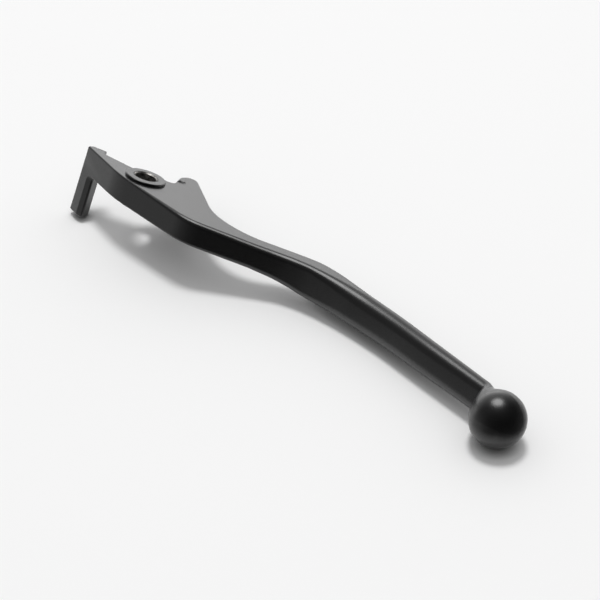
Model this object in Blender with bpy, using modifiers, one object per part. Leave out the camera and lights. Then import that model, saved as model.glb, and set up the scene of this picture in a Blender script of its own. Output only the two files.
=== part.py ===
"""Motorcycle clutch lever: a one-piece forged lever and the loose sleeve in its pivot bore.

Frame: the origin is on the pivot axis, midway between the head's two faces. +Z runs up the
pivot axis, +X towards the ball end, and +Y towards the handlebar, where the push lobe is.
The switch finger hangs from the tail towards -Z.
"""

import math

import bmesh
import bpy
from mathutils import Vector

# Driving dimensions, in metres.
PLATE_HALF = 0.00465  # half the thickness of the flat head
BOSS_RADIUS = 0.0076
BOSS_HALF = 0.0056  # the head is 11.2 mm thick across its two pivot bosses
BORE_RADIUS = 0.0046
SLEEVE_OUTER = 0.0045
SLEEVE_INNER = 0.0040
SLEEVE_HALF = 0.00565  # the sleeve is 0.1 mm longer than the bore, so that it can be clamped
SLEEVE_CHAMFER = 0.0004
BALL_RADIUS = 0.0095
BALL_CENTRE = Vector((0.1673, 0.0, -0.0013))
NECK_BLEND = 0.0028  # softens the line where the blade runs into the ball
FINGER_TIP = -0.0212  # height of the switch finger's end face
FINGER_HALF = 0.0035  # about half the finger's thickness
FINGER_FRONT = 0.79  # where the finger's front corner is, from the eye (0) to the tail (1)
EDGE_ROUND = 0.0004  # the small radius along the head's forged edges
SEAT_RADIUS = 0.0030  # the push-rod seat milled on the lobe's flank
SEAT_CENTRE = Vector((0.0003, 0.0205, 0.0))
SEAT_CUT_HALF = 0.002
SCOOP_RADIUS = 0.0036  # a shallow round scoop in the top face beside the flank
SCOOP_CENTRE = Vector((0.0042, 0.0152, PLATE_HALF + 0.0030))

# The head's outline, from the blade's front edge, round the tail, to the blade's back edge.
# Each corner is x, y and the radius that rounds it. The blade's first section closes it.
HEAD_CORNERS = (
    (0.0326, -0.0112, 0.0200),  # knuckle
    (-0.0045, -0.0094, 0.0450),  # front of the eye
    (-0.0292, -0.0021, 0.0008),  # tail
    (-0.0287, 0.0004, 0.0015),
    (-0.0237, 0.0028, 0.0003),  # rest stop
    (-0.0217, -0.0001, 0.0004),
    (-0.0077, 0.0031, 0.0030),  # back of the eye
    (-0.0029, 0.0086, 0.0060),
    (0.0055, 0.0097, 0.0022),  # notch
    (0.0002, 0.0191, 0.0045),  # push flank
    (0.0, 0.0275, 0.0032),  # lobe
    (0.0362, 0.0023, 0.0270),  # waist between lobe and blade
)

# The blade, station by station along its middle line:
# x, y, half width, height of the top, depth of the bottom, and the radius of its long corners.
BLADE = (
    (0.0529, 0.0054, 0.00475, 0.00465, 0.00465, 0.0014),
    (0.0609, 0.0096, 0.0048, 0.0049, 0.0051, 0.0017),
    (0.0669, 0.0119, 0.0049, 0.0053, 0.0056, 0.0020),
    (0.0739, 0.0138, 0.0052, 0.0057, 0.0062, 0.0024),
    (0.0819, 0.0147, 0.0054, 0.0058, 0.0064, 0.0029),
    (0.0910, 0.0146, 0.0053, 0.0058, 0.0065, 0.0038),
    (0.1111, 0.0130, 0.0051, 0.0057, 0.0064, 0.0045),
    (0.1312, 0.0099, 0.0048, 0.0055, 0.0061, 0.0044),
    (0.1514, 0.0069, 0.0043, 0.0052, 0.0058, 0.0041),
    (0.1657, 0.0044, 0.0039, 0.0051, 0.0056, 0.0038),
)
LOFT_START = 0.0529
NECK_END = 0.1564
NECK_TURN = 0.012  # the sections turn square to X over this much before the neck's end
EDGE_GROWS = 0.020  # the head's small edge radius grows to the blade's over this length
FULL_ROUND = 0.98  # the share of a half section that its corner radius may take up
ROUND_BY = 0.7  # the sections are fully round when the ball has swelled to this share
# The blade's top draws in from full width at the first x to its least at the second.
NARROW_FROM = 0.0760
NARROW_TO = 0.0980
NARROWEST = 0.0010  # how much the top has drawn in by then, on each side

# The finger's corners on its side towards the pivot, from the step at the back.
FINGER_SIDE = ((-0.0221, 0.0009), (-0.0209, -0.0036))
SHARPEST_MITRE = 0.5  # stops a sharp corner from stretching its edge radius

# Mesh fineness.
ARC_STEP = math.radians(12)
EDGE_STEPS = 3
BLADE_STATIONS = 34
BALL_STATIONS = 15
ROUND_SIDES = 64
SLEEVE_SIDES = 96
BALL_SIDES = 48
BALL_RINGS = 24


def smooth_max(a, b, blend):
    """The larger of two values, eased together where they are close."""
    near = max(blend - abs(a - b), 0.0) / blend
    return max(a, b) + near * near * blend / 4


def blade_at(x):
    """The blade table read at x along a smooth cubic through its stations."""
    last = len(BLADE) - 2
    i = next((k for k in range(last) if x < BLADE[k + 1][0]), last)
    before = BLADE[max(i - 1, 0)]
    low, high = BLADE[i], BLADE[i + 1]
    after = BLADE[min(i + 2, last + 1)]
    width = high[0] - low[0]
    t = (x - low[0]) / width
    values = []
    for k in range(1, 6):
        slope_low = (high[k] - before[k]) / (high[0] - before[0]) * width
        slope_high = (after[k] - low[k]) / (after[0] - low[0]) * width
        values.append(
            (2 * t**3 - 3 * t**2 + 1) * low[k]
            + (t**3 - 2 * t**2 + t) * slope_low
            + (3 * t**2 - 2 * t**3) * high[k]
            + (t**3 - t**2) * slope_high
        )
    return values


def blade_normal(x):
    """The unit direction across the blade at x, turning square to X at the ball."""
    step = 0.0005
    rise = (blade_at(x + step)[0] - blade_at(x - step)[0]) / (2 * step)
    near_ball = min(max((x - NECK_END) / NECK_TURN + 1, 0.0), 1.0)
    return Vector((-rise * (1 - near_ball), 1.0)).normalized()


def rounded(first, corners, last):
    """Points along a path from first to last, with each corner between turned into an arc."""
    path = [first, *(Vector(corner[:2]) for corner in corners), last]
    points = [first]
    for i, (_, _, radius) in enumerate(corners, 1):
        into = (path[i - 1] - path[i]).normalized()
        out = (path[i + 1] - path[i]).normalized()
        half_angle = into.angle(out) / 2
        centre = path[i] + (into + out).normalized() * (radius / math.sin(half_angle))
        start = path[i] + into * (radius / math.tan(half_angle)) - centre
        end = path[i] + out * (radius / math.tan(half_angle)) - centre
        start_angle = math.atan2(start.y, start.x)
        sweep = (math.atan2(end.y, end.x) - start_angle + math.pi) % math.tau - math.pi
        steps = max(2, math.ceil(abs(sweep) / ARC_STEP))
        for k in range(steps + 1):
            angle = start_angle + sweep * k / steps
            points.append(centre + radius * Vector((math.cos(angle), math.sin(angle))))
    points.append(last)
    return points


def edge_angles():
    """Angles down one side of a section: round its top corner, then its bottom corner."""
    quarter = [math.pi / 2 * (1 - k / EDGE_STEPS) for k in range(EDGE_STEPS + 1)]
    return [(angle, 1) for angle in quarter] + [(angle, -1) for angle in reversed(quarter)]


def blade_columns(x):
    """The front and back columns of points of the blade's section at x, or the ball's."""
    reach = math.sqrt(max(BALL_RADIUS**2 - (x - BALL_CENTRE.x) ** 2, 0.0))
    if x < BALL_CENTRE.x:
        middle, half_width, top, depth, corner = blade_at(x)
        front, back = middle - half_width, middle + half_width
        bottom = -depth
    else:
        corner = 0.0
        front = back = BALL_CENTRE.y
        top = bottom = BALL_CENTRE.z
    if reach > 0:
        front = -smooth_max(-front, reach - BALL_CENTRE.y, NECK_BLEND)
        back = smooth_max(back, reach + BALL_CENTRE.y, NECK_BLEND)
        top = smooth_max(top, reach + BALL_CENTRE.z, NECK_BLEND)
        bottom = -smooth_max(-bottom, reach - BALL_CENTRE.z, NECK_BLEND)
    half_width, half_height = (back - front) / 2, (top - bottom) / 2
    centre = Vector((x, (front + back) / 2))
    across = blade_normal(x) if x < BALL_CENTRE.x else Vector((0.0, 1.0))
    # The corners open out until the section is an ellipse, and on the ball a circle.
    share = 1.0 if x > BALL_CENTRE.x else min(reach / (ROUND_BY * BALL_RADIUS), 1.0)
    grown = min(max((x - NARROW_FROM) / (NARROW_TO - NARROW_FROM), 0.0), 1.0)
    narrowing = NARROWEST * grown * (1 - share)
    corner = min(corner, half_width - narrowing)
    round_y = corner + (FULL_ROUND * half_width - corner) * share
    round_z = corner + (FULL_ROUND * half_height - corner) * share
    columns = []
    for side in (-1, 1):
        column = []
        for angle, up in edge_angles():
            out = half_width - round_y * (1 - math.cos(angle))
            rise = half_height - round_z * (1 - math.sin(angle))
            out -= narrowing * (1 + up * rise / half_height) / 2
            spot = centre + across * (side * out)
            column.append((spot.x, spot.y, (top + bottom) / 2 + up * rise))
        columns.append(column)
    return columns


def head_column(points, i):
    """The column of points down the head's wall at outline point i."""
    before = (points[i] - points[i - 1]).normalized()
    after = (points[i + 1] - points[i]).normalized()
    # Walking the outline this way keeps the head on the right-hand side.
    inward = Vector((before.y + after.y, -before.x - after.x)).normalized()
    mitre = 1 / max(inward.dot(Vector((after.y, -after.x))), SHARPEST_MITRE)
    grown = min(max((points[i].x - HEAD_CORNERS[0][0]) / EDGE_GROWS, 0.0), 1.0)
    radius = EDGE_ROUND + (BLADE[0][-1] - EDGE_ROUND) * grown
    column = []
    for angle, up in edge_angles():
        spot = points[i] + inward * (mitre * radius * (1 - math.cos(angle)))
        column.append((spot.x, spot.y, up * (PLATE_HALF - radius * (1 - math.sin(angle)))))
    return column


def new_object(name, mesh, material, collection):
    """An object made from a bmesh, with its faces turned outwards and its round parts smooth."""
    bmesh.ops.recalc_face_normals(mesh, faces=mesh.faces)
    data = bpy.data.meshes.new(name)
    mesh.to_mesh(data)
    mesh.free()
    if material:
        data.materials.append(material)
    data.shade_smooth()
    data.set_sharp_from_angle(angle=math.radians(30))
    made = bpy.data.objects.new(name, data)
    collection.objects.link(made)
    return made


def loft(mesh, columns):
    """Walls between neighbouring columns of points. Returns the rows of vertices."""
    rows = [[mesh.verts.new(point) for point in column] for column in columns]
    for left, right in zip(rows, rows[1:]):
        for k in range(len(left) - 1):
            mesh.faces.new((left[k], right[k], right[k + 1], left[k + 1]))
    return rows


def bar_mesh(outline):
    """The head, blade and ball as one closed skin."""
    mesh = bmesh.new()
    neck = [
        LOFT_START + (NECK_END - LOFT_START) * k / BLADE_STATIONS
        for k in range(BLADE_STATIONS + 1)
    ]
    ball = [
        BALL_CENTRE.x - BALL_RADIUS * math.cos(math.pi * (k + 0.7) / BALL_STATIONS)
        for k in range(BALL_STATIONS)
    ]
    sections = [blade_columns(x) for x in neck + ball]
    fronts = [section[0] for section in sections]
    backs = [section[1] for section in sections]
    head = [head_column(outline, i) for i in range(1, len(outline) - 1)]
    # Down the front from the ball, round the head, and up the back to the ball again.
    rows = loft(mesh, fronts[::-1] + head + backs)
    count = len(sections)
    front_rows = rows[:count][::-1]
    back_rows = rows[-count:]
    for level in (0, -1):
        mesh.faces.new([row[level] for row in rows[count - 1 : len(rows) - count + 1]])
        for i in range(count - 1):
            mesh.faces.new(
                (
                    front_rows[i][level],
                    front_rows[i + 1][level],
                    back_rows[i + 1][level],
                    back_rows[i][level],
                )
            )
    mesh.faces.new(front_rows[-1] + back_rows[-1][::-1])
    return mesh


def finger_mesh(outline):
    """The switch finger: the tail's end carried down from inside the head to its tip."""
    mesh = bmesh.new()
    tail = [p for p in outline if p.x < FINGER_SIDE[0][0] - EDGE_ROUND]
    eye, tail_corner = (Vector(corner[:2]) for corner in HEAD_CORNERS[1:3])
    front_corner = eye.lerp(tail_corner, FINGER_FRONT)
    around = [*tail, *(Vector(p) for p in FINGER_SIDE), front_corner]
    middle = sum(around, Vector((0.0, 0.0))) / len(around)
    tip_share = 1 - EDGE_ROUND / FINGER_HALF
    levels = [
        (0.0, 1.0),
        (FINGER_TIP + EDGE_ROUND, 1.0),
        (FINGER_TIP, tip_share),
    ]
    rings = []
    for height, share in levels:
        ring = []
        for p in around:
            spot = middle + (p - middle) * share
            ring.append(mesh.verts.new((spot.x, spot.y, height)))
        rings.append(ring)
    for upper, lower in zip(rings, rings[1:]):
        for k in range(len(around)):
            after = (k + 1) % len(around)
            mesh.faces.new((upper[k], upper[after], lower[after], lower[k]))
    mesh.faces.new(rings[0])
    mesh.faces.new(rings[-1][::-1])
    return mesh


def cylinder_mesh(radius, half_length, sides):
    """A closed cylinder on the pivot axis."""
    mesh = bmesh.new()
    bmesh.ops.create_cone(
        mesh,
        cap_ends=True,
        segments=sides,
        radius1=radius,
        radius2=radius,
        depth=2 * half_length,
    )
    return mesh


def ball_mesh(radius):
    """A closed sphere."""
    mesh = bmesh.new()
    bmesh.ops.create_uvsphere(mesh, u_segments=BALL_SIDES, v_segments=BALL_RINGS, radius=radius)
    return mesh


def as_tool(tool):
    """Marks an object as one that only shapes another."""
    tool.hide_render = True
    tool.display_type = "WIRE"
    return tool


def shape_with(target, tool, operation):
    """Joins or cuts target with tool."""
    modifier = target.modifiers.new(f"{operation.lower()}_{tool.name}", "BOOLEAN")
    modifier.operation = operation
    modifier.solver = "EXACT"
    modifier.object = as_tool(tool)


def make_material(name, colour, roughness, metallic):
    """A plain Principled material."""
    material = bpy.data.materials.new(name)
    material.use_nodes = True
    shader = material.node_tree.nodes["Principled BSDF"]
    shader.inputs["Base Color"].default_value = (*colour, 1.0)
    shader.inputs["Roughness"].default_value = roughness
    shader.inputs["Metallic"].default_value = metallic
    return material


def make_lever(parts, tools):
    """The forged lever: head, blade, ball, bosses and finger in one piece."""
    black = make_material("satin_black_coat", (0.02, 0.02, 0.021), 0.42, 0.0)
    walls = [Vector(column[EDGE_STEPS][:2]) for column in blade_columns(LOFT_START)]
    outline = rounded(walls[0], HEAD_CORNERS, walls[1])
    lever = new_object("lever_body", bar_mesh(outline), black, parts)
    finger = new_object("switch_finger_form", finger_mesh(outline), None, tools)
    bosses = new_object(
        "boss_form", cylinder_mesh(BOSS_RADIUS, BOSS_HALF, ROUND_SIDES), None, tools
    )
    bore = new_object(
        "bore_cutter", cylinder_mesh(BORE_RADIUS, 2 * BOSS_HALF, SLEEVE_SIDES), None, tools
    )
    seat = new_object(
        "push_rod_seat_cutter", cylinder_mesh(SEAT_RADIUS, SEAT_CUT_HALF, ROUND_SIDES), None, tools
    )
    seat.rotation_euler = (0.0, math.pi / 2, 0.0)
    seat.location = SEAT_CENTRE - Vector((SEAT_CUT_HALF, 0.0, 0.0))
    scoop = new_object("scoop_cutter", ball_mesh(SCOOP_RADIUS), None, tools)
    scoop.location = SCOOP_CENTRE
    shape_with(lever, bosses, "UNION")
    shape_with(lever, bore, "DIFFERENCE")
    shape_with(lever, seat, "DIFFERENCE")
    shape_with(lever, scoop, "DIFFERENCE")
    shape_with(lever, finger, "UNION")
    return lever


def make_sleeve(parts):
    """The bare metal sleeve that the pivot bolt clamps, free to turn in the lever's bore."""
    steel = make_material("bare_steel", (0.55, 0.54, 0.52), 0.35, 1.0)
    profile = bmesh.new()
    mouth = SLEEVE_HALF - SLEEVE_CHAMFER
    ring = [
        (SLEEVE_OUTER, SLEEVE_HALF),
        (SLEEVE_OUTER, -SLEEVE_HALF),
        (SLEEVE_INNER + SLEEVE_CHAMFER, -SLEEVE_HALF),
        (SLEEVE_INNER, -mouth),
        (SLEEVE_INNER, mouth),
        (SLEEVE_INNER + SLEEVE_CHAMFER, SLEEVE_HALF),
    ]
    corners = [profile.verts.new((radius, 0.0, height)) for radius, height in ring]
    for k, corner in enumerate(corners):
        profile.edges.new((corner, corners[(k + 1) % len(corners)]))
    data = bpy.data.meshes.new("pivot_sleeve")
    profile.to_mesh(data)
    profile.free()
    data.materials.append(steel)
    sleeve = bpy.data.objects.new("pivot_sleeve", data)
    parts.objects.link(sleeve)
    turned = sleeve.modifiers.new("turned", "SCREW")
    turned.steps = SLEEVE_SIDES
    turned.render_steps = SLEEVE_SIDES
    turned.use_merge_vertices = True
    turned.merge_threshold = 0.00001
    return sleeve


def main():
    for old in list(bpy.data.objects):
        bpy.data.objects.remove(old, do_unlink=True)
    parts = bpy.data.collections.new("clutch_lever")
    tools = bpy.data.collections.new("forms_and_cutters")
    for collection in (parts, tools):
        bpy.context.scene.collection.children.link(collection)
    make_lever(parts, tools)
    make_sleeve(parts)


main()
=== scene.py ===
"""Looks for the clutch lever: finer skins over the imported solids, their finishes, and a studio.

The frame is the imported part's: the origin on the pivot axis, +Z up that axis, +X to the ball end
and +Y to the handlebar. The lever lies on a table that is tilted in this frame, because it rests
on its switch finger and its ball.
"""

import math

import bmesh
import bpy
from mathutils import Euler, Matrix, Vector


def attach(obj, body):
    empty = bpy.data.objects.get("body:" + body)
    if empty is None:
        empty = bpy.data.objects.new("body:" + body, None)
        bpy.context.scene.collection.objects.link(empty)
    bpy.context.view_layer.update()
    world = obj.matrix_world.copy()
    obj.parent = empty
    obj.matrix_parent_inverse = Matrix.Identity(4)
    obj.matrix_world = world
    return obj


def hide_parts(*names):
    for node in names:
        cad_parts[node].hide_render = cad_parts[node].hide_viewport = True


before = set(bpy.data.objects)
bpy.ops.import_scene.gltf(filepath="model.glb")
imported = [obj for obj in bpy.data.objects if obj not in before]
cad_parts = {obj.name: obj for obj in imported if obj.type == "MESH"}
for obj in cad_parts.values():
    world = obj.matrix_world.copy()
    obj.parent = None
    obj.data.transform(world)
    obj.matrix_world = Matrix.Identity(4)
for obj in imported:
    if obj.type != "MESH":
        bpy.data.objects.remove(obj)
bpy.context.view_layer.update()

# Sizes in metres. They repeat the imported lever's, with the small edges that the solids leave out.
PLATE_HALF = 0.00465
BOSS_RADIUS = 0.0076
BOSS_HALF = 0.0056
BOSS_EDGE = 0.0004
BORE_RADIUS = 0.0046
BORE_MOUTH = 0.00015
SLEEVE_OUTER = 0.0045
SLEEVE_INNER = 0.0040
SLEEVE_HALF = 0.00565
SLEEVE_MOUTH = 0.00045
SLEEVE_EDGE = 0.00004
BORE_SHADE_DEPTH = 0.0035  # how far in from its ends the sleeve's steel goes from bright to dark: painted shade down the bore
BALL_RADIUS = 0.0095
BALL_CENTRE = Vector((0.1673, 0.0, -0.0013))
NECK_BLEND = 0.0026
NECK_TURN = 0.012
FINGER_TIP = -0.0212
FINGER_FRONT = 0.79  # where the finger's front corner is, from the eye (0) to the tail (1)
FINGER_EDGE = 0.0006
FINGER_FRONT_EDGE = 0.0012  # the softer edge down the finger's front corner
FINGER_ROOT = 0.0018  # the fillet under the head
EDGE_ROUND = 0.0005
FULL_ROUND = 0.98  # the share of a half section that its corner radius may take up
ROUND_BY = 0.7  # the sections are fully round when the ball has swelled to this share
LOFT_START = 0.0529
NECK_END = 0.1564
SHARPEST_MITRE = 0.5  # stops a sharp corner from stretching its edge radius

HEAD_CORNERS = (
    (0.0326, -0.0112, 0.0200),  # knuckle
    (-0.0045, -0.0094, 0.0450),  # front of the eye
    (-0.0292, -0.0021, 0.0008),  # tail
    (-0.0287, 0.0004, 0.0015),
    (-0.0237, 0.0028, 0.0003),  # rest stop
    (-0.0217, -0.0001, 0.0004),
    (-0.0077, 0.0031, 0.0030),  # back of the eye
    (-0.0029, 0.0086, 0.0060),
    (0.0055, 0.0097, 0.0022),  # notch
    (0.0002, 0.0191, 0.0045),  # push flank
    (0.0, 0.0275, 0.0032),  # lobe
    (0.0362, 0.0023, 0.0270),  # waist between lobe and blade
)
FINGER_SIDE = ((-0.0221, 0.0009), (-0.0209, -0.0036))

# The blade, station by station along its middle line:
# x, y, half width, height of the top, depth of the bottom, and the radius of its long corners.
BLADE = (
    (0.0529, 0.0054, 0.00475, 0.00465, 0.00465, 0.0021),
    (0.0609, 0.0096, 0.0048, 0.0049, 0.0051, 0.0023),
    (0.0669, 0.0119, 0.0049, 0.0053, 0.0056, 0.0024),
    (0.0739, 0.0138, 0.0052, 0.0057, 0.0062, 0.0024),
    (0.0819, 0.0147, 0.0054, 0.0058, 0.0064, 0.0030),
    (0.0910, 0.0146, 0.0053, 0.0058, 0.0065, 0.0038),
    (0.1111, 0.0130, 0.0051, 0.0057, 0.0064, 0.0045),
    (0.1312, 0.0099, 0.0048, 0.0055, 0.0061, 0.0044),
    (0.1514, 0.0069, 0.0043, 0.0052, 0.0058, 0.0041),
    (0.1657, 0.0044, 0.0039, 0.0051, 0.0056, 0.0038),
)
# How the radius of the head's top edge, and of its bottom edge, grows with x: x and radius.
HEAD_EDGE = ((0.0100, 0.0006), (0.0300, 0.0017), (0.0529, 0.0021))
HEAD_LOW_EDGE = ((0.0100, 0.0005), (0.0300, 0.0012), (0.0529, 0.0022))
BLADE_LOW_EDGE = 0.0022  # the least radius of the blade's lower corners
NARROWING = ((0.0760, 0.0), (0.0980, 0.0010))  # x, and how far each side of the top draws in

# The push-rod seat milled on the lobe's flank, and the shallow scoop in the top beside it.
SEAT_RADIUS = 0.0030
SEAT_CENTRE = Vector((0.0003, 0.0205, 0.0))
SEAT_CUT_HALF = 0.002
SCOOP_RADIUS = 0.0036
SCOOP_CENTRE = Vector((0.0042, 0.0152, PLATE_HALF + 0.0030))
CUT_PAST = 0.001  # how far the bore's cutter goes past the bosses

# Mesh fineness.
ARC_STEP = math.radians(5)
EDGE_STEPS = 8
BLADE_STATIONS = 90
BALL_STATIONS = 44
FIRST_BALL_STEP = 0.7  # where the first section on the ball is, in steps from its near end
ROUND_SIDES = 144
SCOOP_SIDES = 128
FILLET_STEPS = 6
BOSS_EDGE_STEPS = 5
SLEEVE_EDGE_STEPS = 3
SLOPE_STEP = 0.0005  # the distance over which the blade's slope is measured
BACK_TURN = 0.3  # a finger face turned further than this to the back doesn't flare
SMOOTH_UNDER = math.radians(24)


def smooth_max(a, b, blend):
    """The larger of two values, eased together where they are close."""
    near = max(blend - abs(a - b), 0.0) / blend
    return max(a, b) + near * near * blend / 4


def between(table, x):
    """A two-column table read at x along straight lines."""
    if x <= table[0][0]:
        return table[0][1]
    for low, high in zip(table, table[1:]):
        if x <= high[0]:
            return low[1] + (high[1] - low[1]) * (x - low[0]) / (high[0] - low[0])
    return table[-1][1]


def blade_at(x):
    """The blade table read at x along a smooth cubic through its stations."""
    last = len(BLADE) - 2
    i = next((k for k in range(last) if x < BLADE[k + 1][0]), last)
    before = BLADE[max(i - 1, 0)]
    low, high = BLADE[i], BLADE[i + 1]
    after = BLADE[min(i + 2, last + 1)]
    width = high[0] - low[0]
    t = (x - low[0]) / width
    values = []
    for k in range(1, 6):
        slope_low = (high[k] - before[k]) / (high[0] - before[0]) * width
        slope_high = (after[k] - low[k]) / (after[0] - low[0]) * width
        values.append(
            (2 * t**3 - 3 * t**2 + 1) * low[k]
            + (t**3 - 2 * t**2 + t) * slope_low
            + (3 * t**2 - 2 * t**3) * high[k]
            + (t**3 - t**2) * slope_high
        )
    return values


def blade_normal(x):
    """The unit direction across the blade at x, turning square to X at the ball."""
    rise = (blade_at(x + SLOPE_STEP)[0] - blade_at(x - SLOPE_STEP)[0]) / (2 * SLOPE_STEP)
    near_ball = min(max((x - NECK_END) / NECK_TURN + 1, 0.0), 1.0)
    return Vector((-rise * (1 - near_ball), 1.0)).normalized()


def rounded(first, corners, last):
    """Points along a path from first to last, with each corner between turned into an arc."""
    path = [first, *(Vector(corner[:2]) for corner in corners), last]
    points = [first]
    for i, corner in enumerate(corners, 1):
        radius = corner[2]
        into = (path[i - 1] - path[i]).normalized()
        out = (path[i + 1] - path[i]).normalized()
        half_angle = into.angle(out) / 2
        centre = path[i] + (into + out).normalized() * (radius / math.sin(half_angle))
        start = path[i] + into * (radius / math.tan(half_angle)) - centre
        end = path[i] + out * (radius / math.tan(half_angle)) - centre
        start_angle = math.atan2(start.y, start.x)
        sweep = (math.atan2(end.y, end.x) - start_angle + math.pi) % math.tau - math.pi
        steps = max(3, math.ceil(abs(sweep) / ARC_STEP))
        for k in range(steps + 1):
            angle = start_angle + sweep * k / steps
            points.append(centre + radius * Vector((math.cos(angle), math.sin(angle))))
    points.append(last)
    return points


def edge_angles():
    """Angles down one side of a section: round its top corner, then its bottom corner."""
    quarter = [math.pi / 2 * (1 - k / EDGE_STEPS) for k in range(EDGE_STEPS + 1)]
    return [(angle, 1) for angle in quarter] + [(angle, -1) for angle in reversed(quarter)]


def blade_columns(x):
    """The front and back columns of points of the blade's section at x, or the ball's."""
    reach = math.sqrt(max(BALL_RADIUS**2 - (x - BALL_CENTRE.x) ** 2, 0.0))
    if x < BALL_CENTRE.x:
        middle, half_width, top, depth, corner = blade_at(x)
        front, back = middle - half_width, middle + half_width
        bottom = -depth
    else:
        corner = 0.0
        front = back = BALL_CENTRE.y
        top = bottom = BALL_CENTRE.z
    if reach > 0:
        front = -smooth_max(-front, reach - BALL_CENTRE.y, NECK_BLEND)
        back = smooth_max(back, reach + BALL_CENTRE.y, NECK_BLEND)
        top = smooth_max(top, reach + BALL_CENTRE.z, NECK_BLEND)
        bottom = -smooth_max(-bottom, reach - BALL_CENTRE.z, NECK_BLEND)
    half_width, half_height = (back - front) / 2, (top - bottom) / 2
    centre = Vector((x, (front + back) / 2))
    across = blade_normal(x) if x < BALL_CENTRE.x else Vector((0.0, 1.0))
    # The corners open out until the section is an ellipse, and on the ball a circle.
    share = 1.0 if x > BALL_CENTRE.x else min(reach / (ROUND_BY * BALL_RADIUS), 1.0)
    full_y, full_z = FULL_ROUND * half_width, FULL_ROUND * half_height
    narrowing = between(NARROWING, x) * (1 - share)
    corners = {1: min(corner, half_width - narrowing), -1: max(corner, BLADE_LOW_EDGE)}
    rounds = {}
    for up, radius in corners.items():
        rounds[up] = (radius + (full_y - radius) * share, radius + (full_z - radius) * share)
    columns = []
    for side in (-1, 1):
        column = []
        for angle, up in edge_angles():
            round_y, round_z = rounds[up]
            out = half_width - round_y * (1 - math.cos(angle))
            rise = half_height - round_z * (1 - math.sin(angle))
            out -= narrowing * (1 + up * rise / half_height) / 2
            spot = centre + across * (side * out)
            column.append((spot.x, spot.y, (top + bottom) / 2 + up * rise))
        columns.append(column)
    return columns


def head_column(points, i):
    """The column of points down the head's wall at outline point i."""
    before = (points[i] - points[i - 1]).normalized()
    after = (points[i + 1] - points[i]).normalized()
    # Walking the outline this way keeps the head on the right-hand side.
    inward = Vector((before.y + after.y, -before.x - after.x)).normalized()
    mitre = 1 / max(inward.dot(Vector((after.y, -after.x))), SHARPEST_MITRE)
    radii = {1: between(HEAD_EDGE, points[i].x), -1: between(HEAD_LOW_EDGE, points[i].x)}
    column = []
    for angle, up in edge_angles():
        radius = radii[up]
        spot = points[i] + inward * (mitre * radius * (1 - math.cos(angle)))
        column.append((spot.x, spot.y, up * (PLATE_HALF - radius * (1 - math.sin(angle)))))
    return column


def new_object(name, mesh, material=None):
    """An object made from a bmesh, with its faces turned outwards."""
    bmesh.ops.recalc_face_normals(mesh, faces=mesh.faces)
    data = bpy.data.meshes.new(name)
    mesh.to_mesh(data)
    mesh.free()
    if material:
        data.materials.append(material)
    made = bpy.data.objects.new(name, data)
    bpy.context.scene.collection.objects.link(made)
    return made


def loft(mesh, columns):
    """Walls between neighbouring columns of points. Returns the rows of vertices."""
    rows = [[mesh.verts.new(point) for point in column] for column in columns]
    for left, right in zip(rows, rows[1:]):
        for k in range(len(left) - 1):
            mesh.faces.new((left[k], right[k], right[k + 1], left[k + 1]))
    return rows


def bar_mesh(outline):
    """The head, blade and ball as one closed skin."""
    mesh = bmesh.new()
    neck = [
        LOFT_START + (NECK_END - LOFT_START) * k / BLADE_STATIONS
        for k in range(BLADE_STATIONS + 1)
    ]
    ball = [
        BALL_CENTRE.x - BALL_RADIUS * math.cos(math.pi * (k + FIRST_BALL_STEP) / BALL_STATIONS)
        for k in range(BALL_STATIONS)
    ]
    sections = [blade_columns(x) for x in neck + ball]
    fronts = [section[0] for section in sections]
    backs = [section[1] for section in sections]
    head = [head_column(outline, i) for i in range(1, len(outline) - 1)]
    # Down the front from the ball, round the head, and up the back to the ball again.
    rows = loft(mesh, fronts[::-1] + head + backs)
    count = len(sections)
    front_rows = rows[:count][::-1]
    back_rows = rows[-count:]
    for level in (0, -1):
        mesh.faces.new([row[level] for row in rows[count - 1 : len(rows) - count + 1]])
        for i in range(count - 1):
            mesh.faces.new(
                (
                    front_rows[i][level],
                    front_rows[i + 1][level],
                    back_rows[i + 1][level],
                    back_rows[i][level],
                )
            )
    mesh.faces.new(front_rows[-1] + back_rows[-1][::-1])
    return mesh


def turned_mesh(profile, sides):
    """A closed body turned about Z from a closed profile of (radius, height) points."""
    mesh = bmesh.new()
    rings = []
    for k in range(sides):
        turn = math.tau * k / sides
        ring = []
        for radius, height in profile:
            ring.append(mesh.verts.new((radius * math.cos(turn), radius * math.sin(turn), height)))
        rings.append(ring)
    count = len(profile)
    for k in range(sides):
        here, there = rings[k], rings[(k + 1) % sides]
        for j in range(count):
            after = (j + 1) % count
            mesh.faces.new((here[j], there[j], there[after], here[after]))
    return mesh


def arc(centre, radius, start, end, steps):
    """Points round an arc, in degrees from the first axis."""
    points = []
    for k in range(steps + 1):
        angle = math.radians(start + (end - start) * k / steps)
        points.append((centre[0] + radius * math.cos(angle), centre[1] + radius * math.sin(angle)))
    return points


def capped_mesh(profile, sides):
    """A closed body turned about Z from an open profile whose two ends are closed by discs."""
    mesh = bmesh.new()
    rings = []
    for radius, height in profile:
        ring = []
        for k in range(sides):
            turn = math.tau * k / sides
            ring.append(mesh.verts.new((radius * math.cos(turn), radius * math.sin(turn), height)))
        rings.append(ring)
    for upper, lower in zip(rings, rings[1:]):
        for k in range(sides):
            after = (k + 1) % sides
            mesh.faces.new((upper[k], upper[after], lower[after], lower[k]))
    mesh.faces.new(rings[0])
    mesh.faces.new(rings[-1][::-1])
    return mesh


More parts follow.
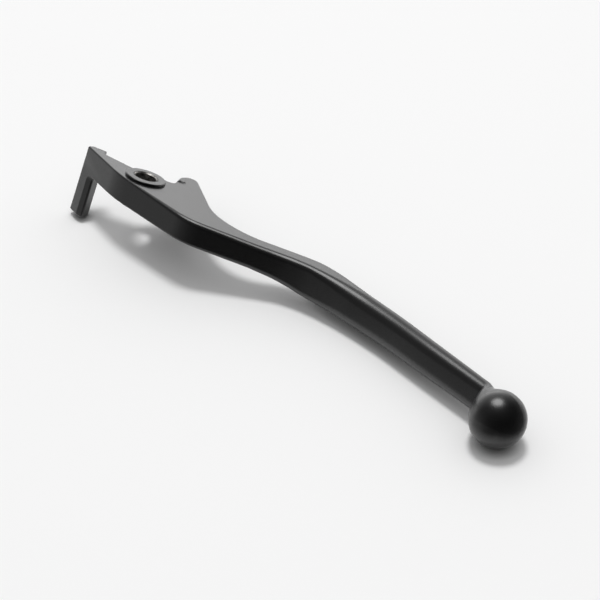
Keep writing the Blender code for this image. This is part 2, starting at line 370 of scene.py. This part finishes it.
def finger_mesh(outline):
    """The switch finger: the tail's end carried down, with a fillet under the head."""
    mesh = bmesh.new()
    tail = [p for p in outline if p.x < FINGER_SIDE[0][0] - EDGE_ROUND]
    eye, tail_corner = (Vector(corner[:2]) for corner in HEAD_CORNERS[1:3])
    front_corner = eye.lerp(tail_corner, FINGER_FRONT)
    corners = [(*FINGER_SIDE[0], FINGER_EDGE), (*FINGER_SIDE[1], FINGER_EDGE)]
    corners.append((front_corner.x, front_corner.y, FINGER_FRONT_EDGE))
    side = rounded(tail[-1], corners, tail[0])[1:-1]
    around = tail + side
    middle = sum(around, Vector((0.0, 0.0))) / len(around)
    wall = (eye - tail_corner).normalized()
    root = -PLATE_HALF - FINGER_ROOT
    levels = [(0.0, FINGER_ROOT, 0.0), (-PLATE_HALF + EDGE_ROUND, FINGER_ROOT, 0.0)]
    for k in range(FILLET_STEPS + 1):
        turn = math.pi / 2 * k / FILLET_STEPS
        flare = FINGER_ROOT * (1 - math.sin(turn))
        levels.append((root + FINGER_ROOT * math.cos(turn), flare, 0.0))
    for k in range(FILLET_STEPS + 1):
        turn = math.pi / 2 * k / FILLET_STEPS
        inset = FINGER_EDGE * (1 - math.cos(turn))
        levels.append((FINGER_TIP + FINGER_EDGE * (1 - math.sin(turn)), 0.0, inset))
    count = len(around)
    rings = []
    for height, flare, inset in levels:
        ring = []
        for k, p in enumerate(around):
            along = (around[(k + 1) % count] - around[k - 1]).normalized()
            outward = Vector((-along.y, along.x))
            if outward.dot(p - middle) < 0:
                outward = -outward
            spot = p - outward * inset
            # Only the side towards the pivot flares: the rest is flush with the head's wall.
            if k >= len(tail) and outward.y < BACK_TURN:
                spot += wall * flare
            ring.append(mesh.verts.new((spot.x, spot.y, height)))
        rings.append(ring)
    for upper, lower in zip(rings, rings[1:]):
        for k in range(count):
            after = (k + 1) % count
            mesh.faces.new((upper[k], upper[after], lower[after], lower[k]))
    mesh.faces.new(rings[0])
    mesh.faces.new(rings[-1][::-1])
    return mesh


def shape_with(target, tool, operation):
    """Joins or cuts target with tool."""
    modifier = target.modifiers.new(tool.name, "BOOLEAN")
    modifier.operation = operation
    modifier.solver = "EXACT"
    modifier.object = tool


def settle(piece, tools):
    """Applies a piece's modifiers, removes the tools, and shades flats flat and rounds round."""
    graph = bpy.context.evaluated_depsgraph_get()
    data = bpy.data.meshes.new_from_object(piece.evaluated_get(graph))
    piece.modifiers.clear()
    piece.data = data
    for tool in tools:
        bpy.data.objects.remove(tool, do_unlink=True)
    data.shade_smooth()
    data.set_sharp_from_angle(angle=SMOOTH_UNDER)
    weighted = piece.modifiers.new("weighted_normals", "WEIGHTED_NORMAL")
    weighted.keep_sharp = True
    weighted.weight = 90


def make_lever(coat):
    """The forged lever's visible skin."""
    walls = [Vector(column[EDGE_STEPS][:2]) for column in blade_columns(LOFT_START)]
    outline = rounded(walls[0], HEAD_CORNERS, walls[1])
    lever = new_object("lever_skin", bar_mesh(outline), coat)
    edge = arc((BOSS_RADIUS - BOSS_EDGE, BOSS_HALF - BOSS_EDGE), BOSS_EDGE, 90, 0, BOSS_EDGE_STEPS)
    boss_profile = edge + [(radius, -height) for radius, height in reversed(edge)]
    bosses = new_object("bosses", capped_mesh(boss_profile, ROUND_SIDES))
    mouth = BOSS_HALF - BORE_MOUTH
    past = BOSS_HALF + CUT_PAST
    bore_profile = [
        (BORE_RADIUS + BORE_MOUTH, past),
        (BORE_RADIUS + BORE_MOUTH, BOSS_HALF),
        (BORE_RADIUS, mouth),
        (BORE_RADIUS, -mouth),
        (BORE_RADIUS + BORE_MOUTH, -BOSS_HALF),
        (BORE_RADIUS + BORE_MOUTH, -past),
    ]
    bore = new_object("bore", capped_mesh(bore_profile, ROUND_SIDES))
    seat_profile = [(SEAT_RADIUS, SEAT_CUT_HALF), (SEAT_RADIUS, -SEAT_CUT_HALF)]
    seat = new_object("seat", capped_mesh(seat_profile, ROUND_SIDES))
    seat.rotation_euler = (0.0, math.pi / 2, 0.0)
    seat.location = SEAT_CENTRE - Vector((SEAT_CUT_HALF, 0.0, 0.0))
    hollow = bmesh.new()
    bmesh.ops.create_uvsphere(
        hollow, u_segments=SCOOP_SIDES, v_segments=SCOOP_SIDES // 2, radius=SCOOP_RADIUS
    )
    scoop = new_object("scoop", hollow)
    scoop.location = SCOOP_CENTRE
    finger = new_object("finger", finger_mesh(outline))
    shape_with(lever, bosses, "UNION")
    shape_with(lever, bore, "DIFFERENCE")
    shape_with(lever, seat, "DIFFERENCE")
    shape_with(lever, scoop, "DIFFERENCE")
    shape_with(lever, finger, "UNION")
    settle(lever, [bosses, bore, seat, scoop, finger])
    return lever


def make_sleeve(steel):
    """The turned sleeve in the pivot bore."""
    corner = (SLEEVE_OUTER - SLEEVE_EDGE, SLEEVE_HALF - SLEEVE_EDGE)
    outer = arc(corner, SLEEVE_EDGE, 90, 0, SLEEVE_EDGE_STEPS)
    half = outer + [(SLEEVE_OUTER, 0.0)]
    lower = [(radius, -height) for radius, height in reversed(outer)]
    mouth = SLEEVE_HALF - SLEEVE_MOUTH
    inner = [
        (SLEEVE_INNER + SLEEVE_MOUTH, -SLEEVE_HALF),
        (SLEEVE_INNER, -mouth),
        (SLEEVE_INNER, 0.0),
        (SLEEVE_INNER, mouth),
        (SLEEVE_INNER + SLEEVE_MOUTH, SLEEVE_HALF),
    ]
    sleeve = new_object("sleeve_skin", turned_mesh(half + lower + inner, ROUND_SIDES), steel)
    settle(sleeve, [])
    return sleeve


class Nodes:
    """A short way to write a material's node tree."""

    def __init__(self, tree):
        self.tree = tree
        tree.nodes.clear()

    def add(self, kind, settings=(), **inputs):
        node = self.tree.nodes.new(kind)
        for name, value in dict(settings).items():
            setattr(node, name, value)
        for name, value in inputs.items():
            self.feed(node, name.replace("_", " "), value)
        return node

    def feed(self, node, name, value):
        socket = node.inputs[int(name)] if name.isdigit() else node.inputs[name]
        if isinstance(value, bpy.types.NodeSocket):
            self.tree.links.new(value, socket)
        else:
            socket.default_value = value


def ramp(nodes, factor, stops):
    """A colour ramp through (place, grey or colour) stops."""
    node = nodes.add("ShaderNodeValToRGB")
    nodes.feed(node, "Fac", factor)
    elements = node.color_ramp.elements
    while len(elements) < len(stops):
        elements.new(0.5)
    for element, (place, colour) in zip(elements, stops):
        element.position = place
        grey = isinstance(colour, (int, float))
        element.color = (colour, colour, colour, 1.0) if grey else (*colour, 1.0)
    return node.outputs["Color"]


def noise(nodes, where, scale, detail=2.0):
    """A noise pattern's value."""
    node = nodes.add("ShaderNodeTexNoise")
    nodes.feed(node, "Vector", where)
    nodes.feed(node, "Scale", scale)
    nodes.feed(node, "Detail", detail)
    return node.outputs["Fac"]


def vector_maths(nodes, operation, left, right):
    """The vector maths node for an operation on two vectors or colours."""
    node = nodes.add("ShaderNodeVectorMath", {"operation": operation})
    nodes.feed(node, "0", left)
    nodes.feed(node, "1", right)
    return node


def product(nodes, left, right):
    """Two colours multiplied."""
    return vector_maths(nodes, "MULTIPLY", left, right).outputs["Vector"]


def along(nodes, way, direction):
    """How far a unit direction goes along another, from -1 to 1."""
    return vector_maths(nodes, "DOT_PRODUCT", way, tuple(direction)).outputs["Value"]


def maths(nodes, operation, left, right=0.0):
    """The result of an operation on one or two values."""
    node = nodes.add("ShaderNodeMath", {"operation": operation})
    nodes.feed(node, "0", left)
    nodes.feed(node, "1", right)
    return node.outputs["Value"]


def share_between(nodes, value, low, high):
    """A value from low to high carried to 0..1."""
    node = nodes.add("ShaderNodeMapRange")
    nodes.feed(node, "Value", value)
    node.inputs["From Min"].default_value = low
    node.inputs["From Max"].default_value = high
    return node.outputs["Result"]


def span(nodes, value, low, high):
    """A value from 0 to 1 carried to low..high."""
    node = nodes.add("ShaderNodeMapRange")
    nodes.feed(node, "Value", value)
    node.inputs["To Min"].default_value = low
    node.inputs["To Max"].default_value = high
    return node.outputs["Result"]


def bump(nodes, height, distance, strength):
    """A bump from a height pattern."""
    node = nodes.add("ShaderNodeBump")
    nodes.feed(node, "Height", height)
    node.inputs["Distance"].default_value = distance
    node.inputs["Strength"].default_value = strength
    return node.outputs["Normal"]


def coat_material():
    """Satin black coat over forged aluminium: a fine orange peel and a little unevenness."""
    material = bpy.data.materials.new("satin_black_coat_look")
    material.use_nodes = True
    nodes = Nodes(material.node_tree)
    where = nodes.add("ShaderNodeTexCoord").outputs["Object"]
    cloud = noise(nodes, where, 60.0, 4.0)
    peel = noise(nodes, where, 1700.0, 2.0)
    grain = noise(nodes, where, 6500.0, 1.0)
    blacks = [(0.3, (0.0016, 0.0016, 0.0017)), (0.7, (0.0026, 0.0026, 0.0027))]
    shader = nodes.add("ShaderNodeBsdfPrincipled")
    nodes.feed(shader, "Base Color", ramp(nodes, cloud, blacks))
    nodes.feed(shader, "Roughness", span(nodes, grain, 0.24, 0.34))
    shader.inputs["Specular IOR Level"].default_value = 0.8
    nodes.feed(shader, "Normal", bump(nodes, peel, 0.000004, 0.5))
    output = nodes.add("ShaderNodeOutputMaterial")
    nodes.feed(output, "Surface", shader.outputs["BSDF"])
    return material


def steel_material():
    """Turned steel with random blotches of grease: painted light at the lip, and painted shade down
    the bore.
    """
    material = bpy.data.materials.new("bare_steel_look")
    material.use_nodes = True
    nodes = Nodes(material.node_tree)
    where = nodes.add("ShaderNodeTexCoord").outputs["Object"]
    height = nodes.add("ShaderNodeSeparateXYZ", Vector=where).outputs["Z"]
    from_middle = maths(nodes, "ABSOLUTE", height)
    outwards = share_between(nodes, from_middle, SLEEVE_HALF - BORE_SHADE_DEPTH, SLEEVE_HALF)
    # From the wall inside, darkened with painted shade, over the chamfer, painted bright as if lit,
    # to the end face, which the coat has dulled.
    bore_shade_greys = [(0.0, 0.20), (0.60, 0.40), (0.86, 0.45), (0.88, 0.55), (0.985, 0.55), (1.0, 0.19)]
    stops = [(place, (grey, grey * 0.97, grey * 0.93)) for place, grey in bore_shade_greys]
    grease = ramp(nodes, noise(nodes, where, 420.0), [(0.38, 0.30), (0.60, 1.15)])
    shader = nodes.add("ShaderNodeBsdfPrincipled")
    nodes.feed(shader, "Base Color", product(nodes, ramp(nodes, outwards, stops), grease))
    shader.inputs["Metallic"].default_value = 1.0
    turning = nodes.add("ShaderNodeTexWave", {"bands_direction": "Z"})
    nodes.feed(turning, "Vector", where)
    turning.inputs["Scale"].default_value = 900.0
    turning.inputs["Distortion"].default_value = 0.6
    nodes.feed(shader, "Roughness", span(nodes, noise(nodes, where, 900.0), 0.34, 0.50))
    nodes.feed(shader, "Normal", bump(nodes, turning.outputs["Fac"], 0.000004, 0.4))
    output = nodes.add("ShaderNodeOutputMaterial")
    nodes.feed(output, "Surface", shader.outputs["BSDF"])
    return material


lever_skin = make_lever(coat_material())
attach(lever_skin, "lever")
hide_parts("lever_body")
sleeve_skin = make_sleeve(steel_material())
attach(sleeve_skin, "sleeve")
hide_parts("pivot_sleeve")

# The table the lever lies on: its upward direction, and how far below the origin it is.
TABLE_UP = Vector((-0.050, -0.409, 0.911)).normalized()
TABLE_DEPTH = 0.0191
TABLE_REACH = 4.0
TABLE_WHITE = 0.90
CONTACT_SHADOW_WHITE = 0.15  # the table's whiteness in the painted contact shadow where the lever rests on it
# how far from the lever the painted contact shadow reaches
CONTACT_SHADOW_REACH = 0.004
OVER = Vector((0.07, 0.0, 0.0))  # the point that the table and the lamps are centred on
# Along each axis, the coat reflects the table up to the first place, and nothing past the second.
GLEAM_X = (0.172, 0.196)
GLEAM_Y = (-0.005, -0.029)

CAMERA_PLACE = Vector((0.399405, -0.484002, 0.209190))
CAMERA_TURN = Euler([math.radians(angle) for angle in (68.731, -18.418, 40.325)])
LENS = 108.0

WHITE = 0.913  # the plain background, the same white as the table
AMBIENT = 0.92  # the light from all round that fills the shadows, at the back of the studio
AMBIENT_BY_SIDE = [(0.0, 1.0), (1.0, 0.3)]
STUDIO = 2.6  # the brightness of what the coat reflects at the back of the studio
# The share of that brightness, by the sine of the height over the table, from the back (0) to
# the camera's side (1), and by how far it is to the camera's right.
STUDIO_BY_HEIGHT = [(0.0, 1.0), (0.05, 0.95), (0.20, 0.52), (0.46, 0.35), (1.0, 0.28)]
STUDIO_BY_SIDE = [
    (0.0, 1.0),
    (0.30, 0.33),
    (0.39, 0.17),
    (0.50, 0.175),
    (0.595, 0.175),
    (0.80, 0.075),
    (0.98, 0.018),
]
STUDIO_BY_RIGHT = [(0.15, 1.0), (0.75, 0.25)]
# The key lamp lights the table, and the gleam lamp is only seen in the coat. Both lean away from
# the camera.
KEY_LEAN = math.radians(12)
KEY_DISTANCE = 2.4
KEY_SIZE = 0.62
KEY_POWER = 26.3
GLEAM_LEAN = math.radians(19)
GLEAM_DISTANCE = 2.2
GLEAM_SIZE = 1.4
GLEAM_POWER = 27.0


def table_material():
    """Matt white paper, with a painted contact shadow where something rests on it.

    It is see-through from below, and for what the coat reflects of it far from the lever.
    """
    material = bpy.data.materials.new("pale_table")
    material.use_nodes = True
    nodes = Nodes(material.node_tree)
    paper = nodes.add("ShaderNodeBsdfDiffuse")
    # Ambient occlusion darkens the paper's colour near the lever: a painted contact shadow.
    painted_contact_shadow = nodes.add("ShaderNodeAmbientOcclusion")
    painted_contact_shadow.samples = 8
    painted_contact_shadow.inputs["Distance"].default_value = CONTACT_SHADOW_REACH
    stops = [(0.0, (CONTACT_SHADOW_WHITE,) * 3), (0.9, (TABLE_WHITE,) * 3)]
    nodes.feed(paper, "Color", ramp(nodes, painted_contact_shadow.outputs["AO"], stops))
    clear = nodes.add("ShaderNodeBsdfTransparent").outputs["BSDF"]
    geometry = nodes.add("ShaderNodeNewGeometry")
    place = nodes.add("ShaderNodeSeparateXYZ", Vector=geometry.outputs["Position"])
    fade_x = share_between(nodes, place.outputs["X"], *GLEAM_X)
    fade_y = share_between(nodes, place.outputs["Y"], *GLEAM_Y)
    is_glossy = nodes.add("ShaderNodeLightPath").outputs["Is Glossy Ray"]
    faded = maths(nodes, "MULTIPLY", maths(nodes, "MAXIMUM", fade_x, fade_y), is_glossy)
    mix = nodes.add("ShaderNodeMixShader")
    nodes.feed(mix, "Fac", maths(nodes, "MAXIMUM", faded, geometry.outputs["Backfacing"]))
    nodes.feed(mix, "1", paper.outputs["BSDF"])
    nodes.feed(mix, "2", clear)
    output = nodes.add("ShaderNodeOutputMaterial")
    nodes.feed(output, "Surface", mix.outputs["Shader"])
    return material


def make_table():
    """The table, as a wide disc under the lever."""
    mesh = bmesh.new()
    bmesh.ops.create_circle(mesh, cap_ends=True, segments=96, radius=TABLE_REACH)
    table = new_object("table", mesh, table_material())
    table.rotation_mode = "QUATERNION"
    table.rotation_quaternion = TABLE_UP.to_track_quat("Z", "Y")
    table.location = OVER - TABLE_UP * (TABLE_DEPTH + OVER.dot(TABLE_UP))


def make_camera():
    """The camera, and the horizontal direction on the table that points at it."""
    data = bpy.data.cameras.new("camera")
    data.lens = LENS
    data.sensor_width = 36.0
    data.clip_start = 0.01
    data.clip_end = 20.0
    camera = bpy.data.objects.new("camera", data)
    camera.location = CAMERA_PLACE
    camera.rotation_euler = CAMERA_TURN
    bpy.context.scene.collection.objects.link(camera)
    bpy.context.scene.camera = camera
    back = CAMERA_TURN.to_matrix() @ Vector((0.0, 0.0, 1.0))
    return (back - TABLE_UP * back.dot(TABLE_UP)).normalized()


def make_lamp(name, direction, distance, size, power):
    """A round soft lamp in a direction from the lever."""
    data = bpy.data.lights.new(name, "AREA")
    data.shape = "DISK"
    data.size = size
    data.energy = power
    lamp = bpy.data.objects.new(name, data)
    lamp.location = OVER + direction * distance
    lamp.rotation_mode = "QUATERNION"
    lamp.rotation_quaternion = direction.to_track_quat("Z", "Y")
    bpy.context.scene.collection.objects.link(lamp)
    return lamp


def make_world(front):
    """What the coat reflects: bright behind the lever, dark on the camera's side and past the ball.

    The camera sees a plain white, and the table gets a soft light from all round.
    """
    world = bpy.data.worlds.new("studio")
    bpy.context.scene.world = world
    world.use_nodes = True
    nodes = Nodes(world.node_tree)
    way = nodes.add("ShaderNodeTexCoord").outputs["Generated"]
    by_height = ramp(nodes, along(nodes, way, TABLE_UP), STUDIO_BY_HEIGHT)
    ahead = share_between(nodes, along(nodes, way, front), -1.0, 1.0)
    by_side = ramp(nodes, ahead, STUDIO_BY_SIDE)
    by_right = ramp(nodes, along(nodes, way, TABLE_UP.cross(front)), STUDIO_BY_RIGHT)
    studio = nodes.add("ShaderNodeBackground")
    nodes.feed(studio, "Color", product(nodes, product(nodes, by_height, by_side), by_right))
    studio.inputs["Strength"].default_value = STUDIO
    path = nodes.add("ShaderNodeLightPath")
    shown = nodes.add("ShaderNodeBackground")
    nodes.feed(shown, "Color", ramp(nodes, ahead, AMBIENT_BY_SIDE))
    shown.inputs["Strength"].default_value = AMBIENT
    plain = nodes.add("ShaderNodeBackground")
    plain.inputs["Color"].default_value = (WHITE, WHITE, WHITE, 1.0)
    unseen = nodes.add("ShaderNodeMixShader")
    nodes.feed(unseen, "Fac", path.outputs["Is Glossy Ray"])
    nodes.feed(unseen, "1", shown.outputs["Background"])
    nodes.feed(unseen, "2", studio.outputs["Background"])
    whole = nodes.add("ShaderNodeMixShader")
    nodes.feed(whole, "Fac", path.outputs["Is Camera Ray"])
    nodes.feed(whole, "1", unseen.outputs["Shader"])
    nodes.feed(whole, "2", plain.outputs["Background"])
    output = nodes.add("ShaderNodeOutputWorld")
    nodes.feed(output, "Surface", whole.outputs["Shader"])


make_table()
front = make_camera()
make_world(front)
key_way = TABLE_UP * math.cos(KEY_LEAN) - front * math.sin(KEY_LEAN)
key_lamp = make_lamp("key_softbox", key_way, KEY_DISTANCE, KEY_SIZE, KEY_POWER)
key_lamp.visible_glossy = False
gleam_way = TABLE_UP * math.cos(GLEAM_LEAN) - front * math.sin(GLEAM_LEAN)
gleam_lamp = make_lamp("gleam_softbox", gleam_way, GLEAM_DISTANCE, GLEAM_SIZE, GLEAM_POWER)
gleam_lamp.visible_diffuse = False
bpy.context.scene.view_settings.view_transform = "Standard"
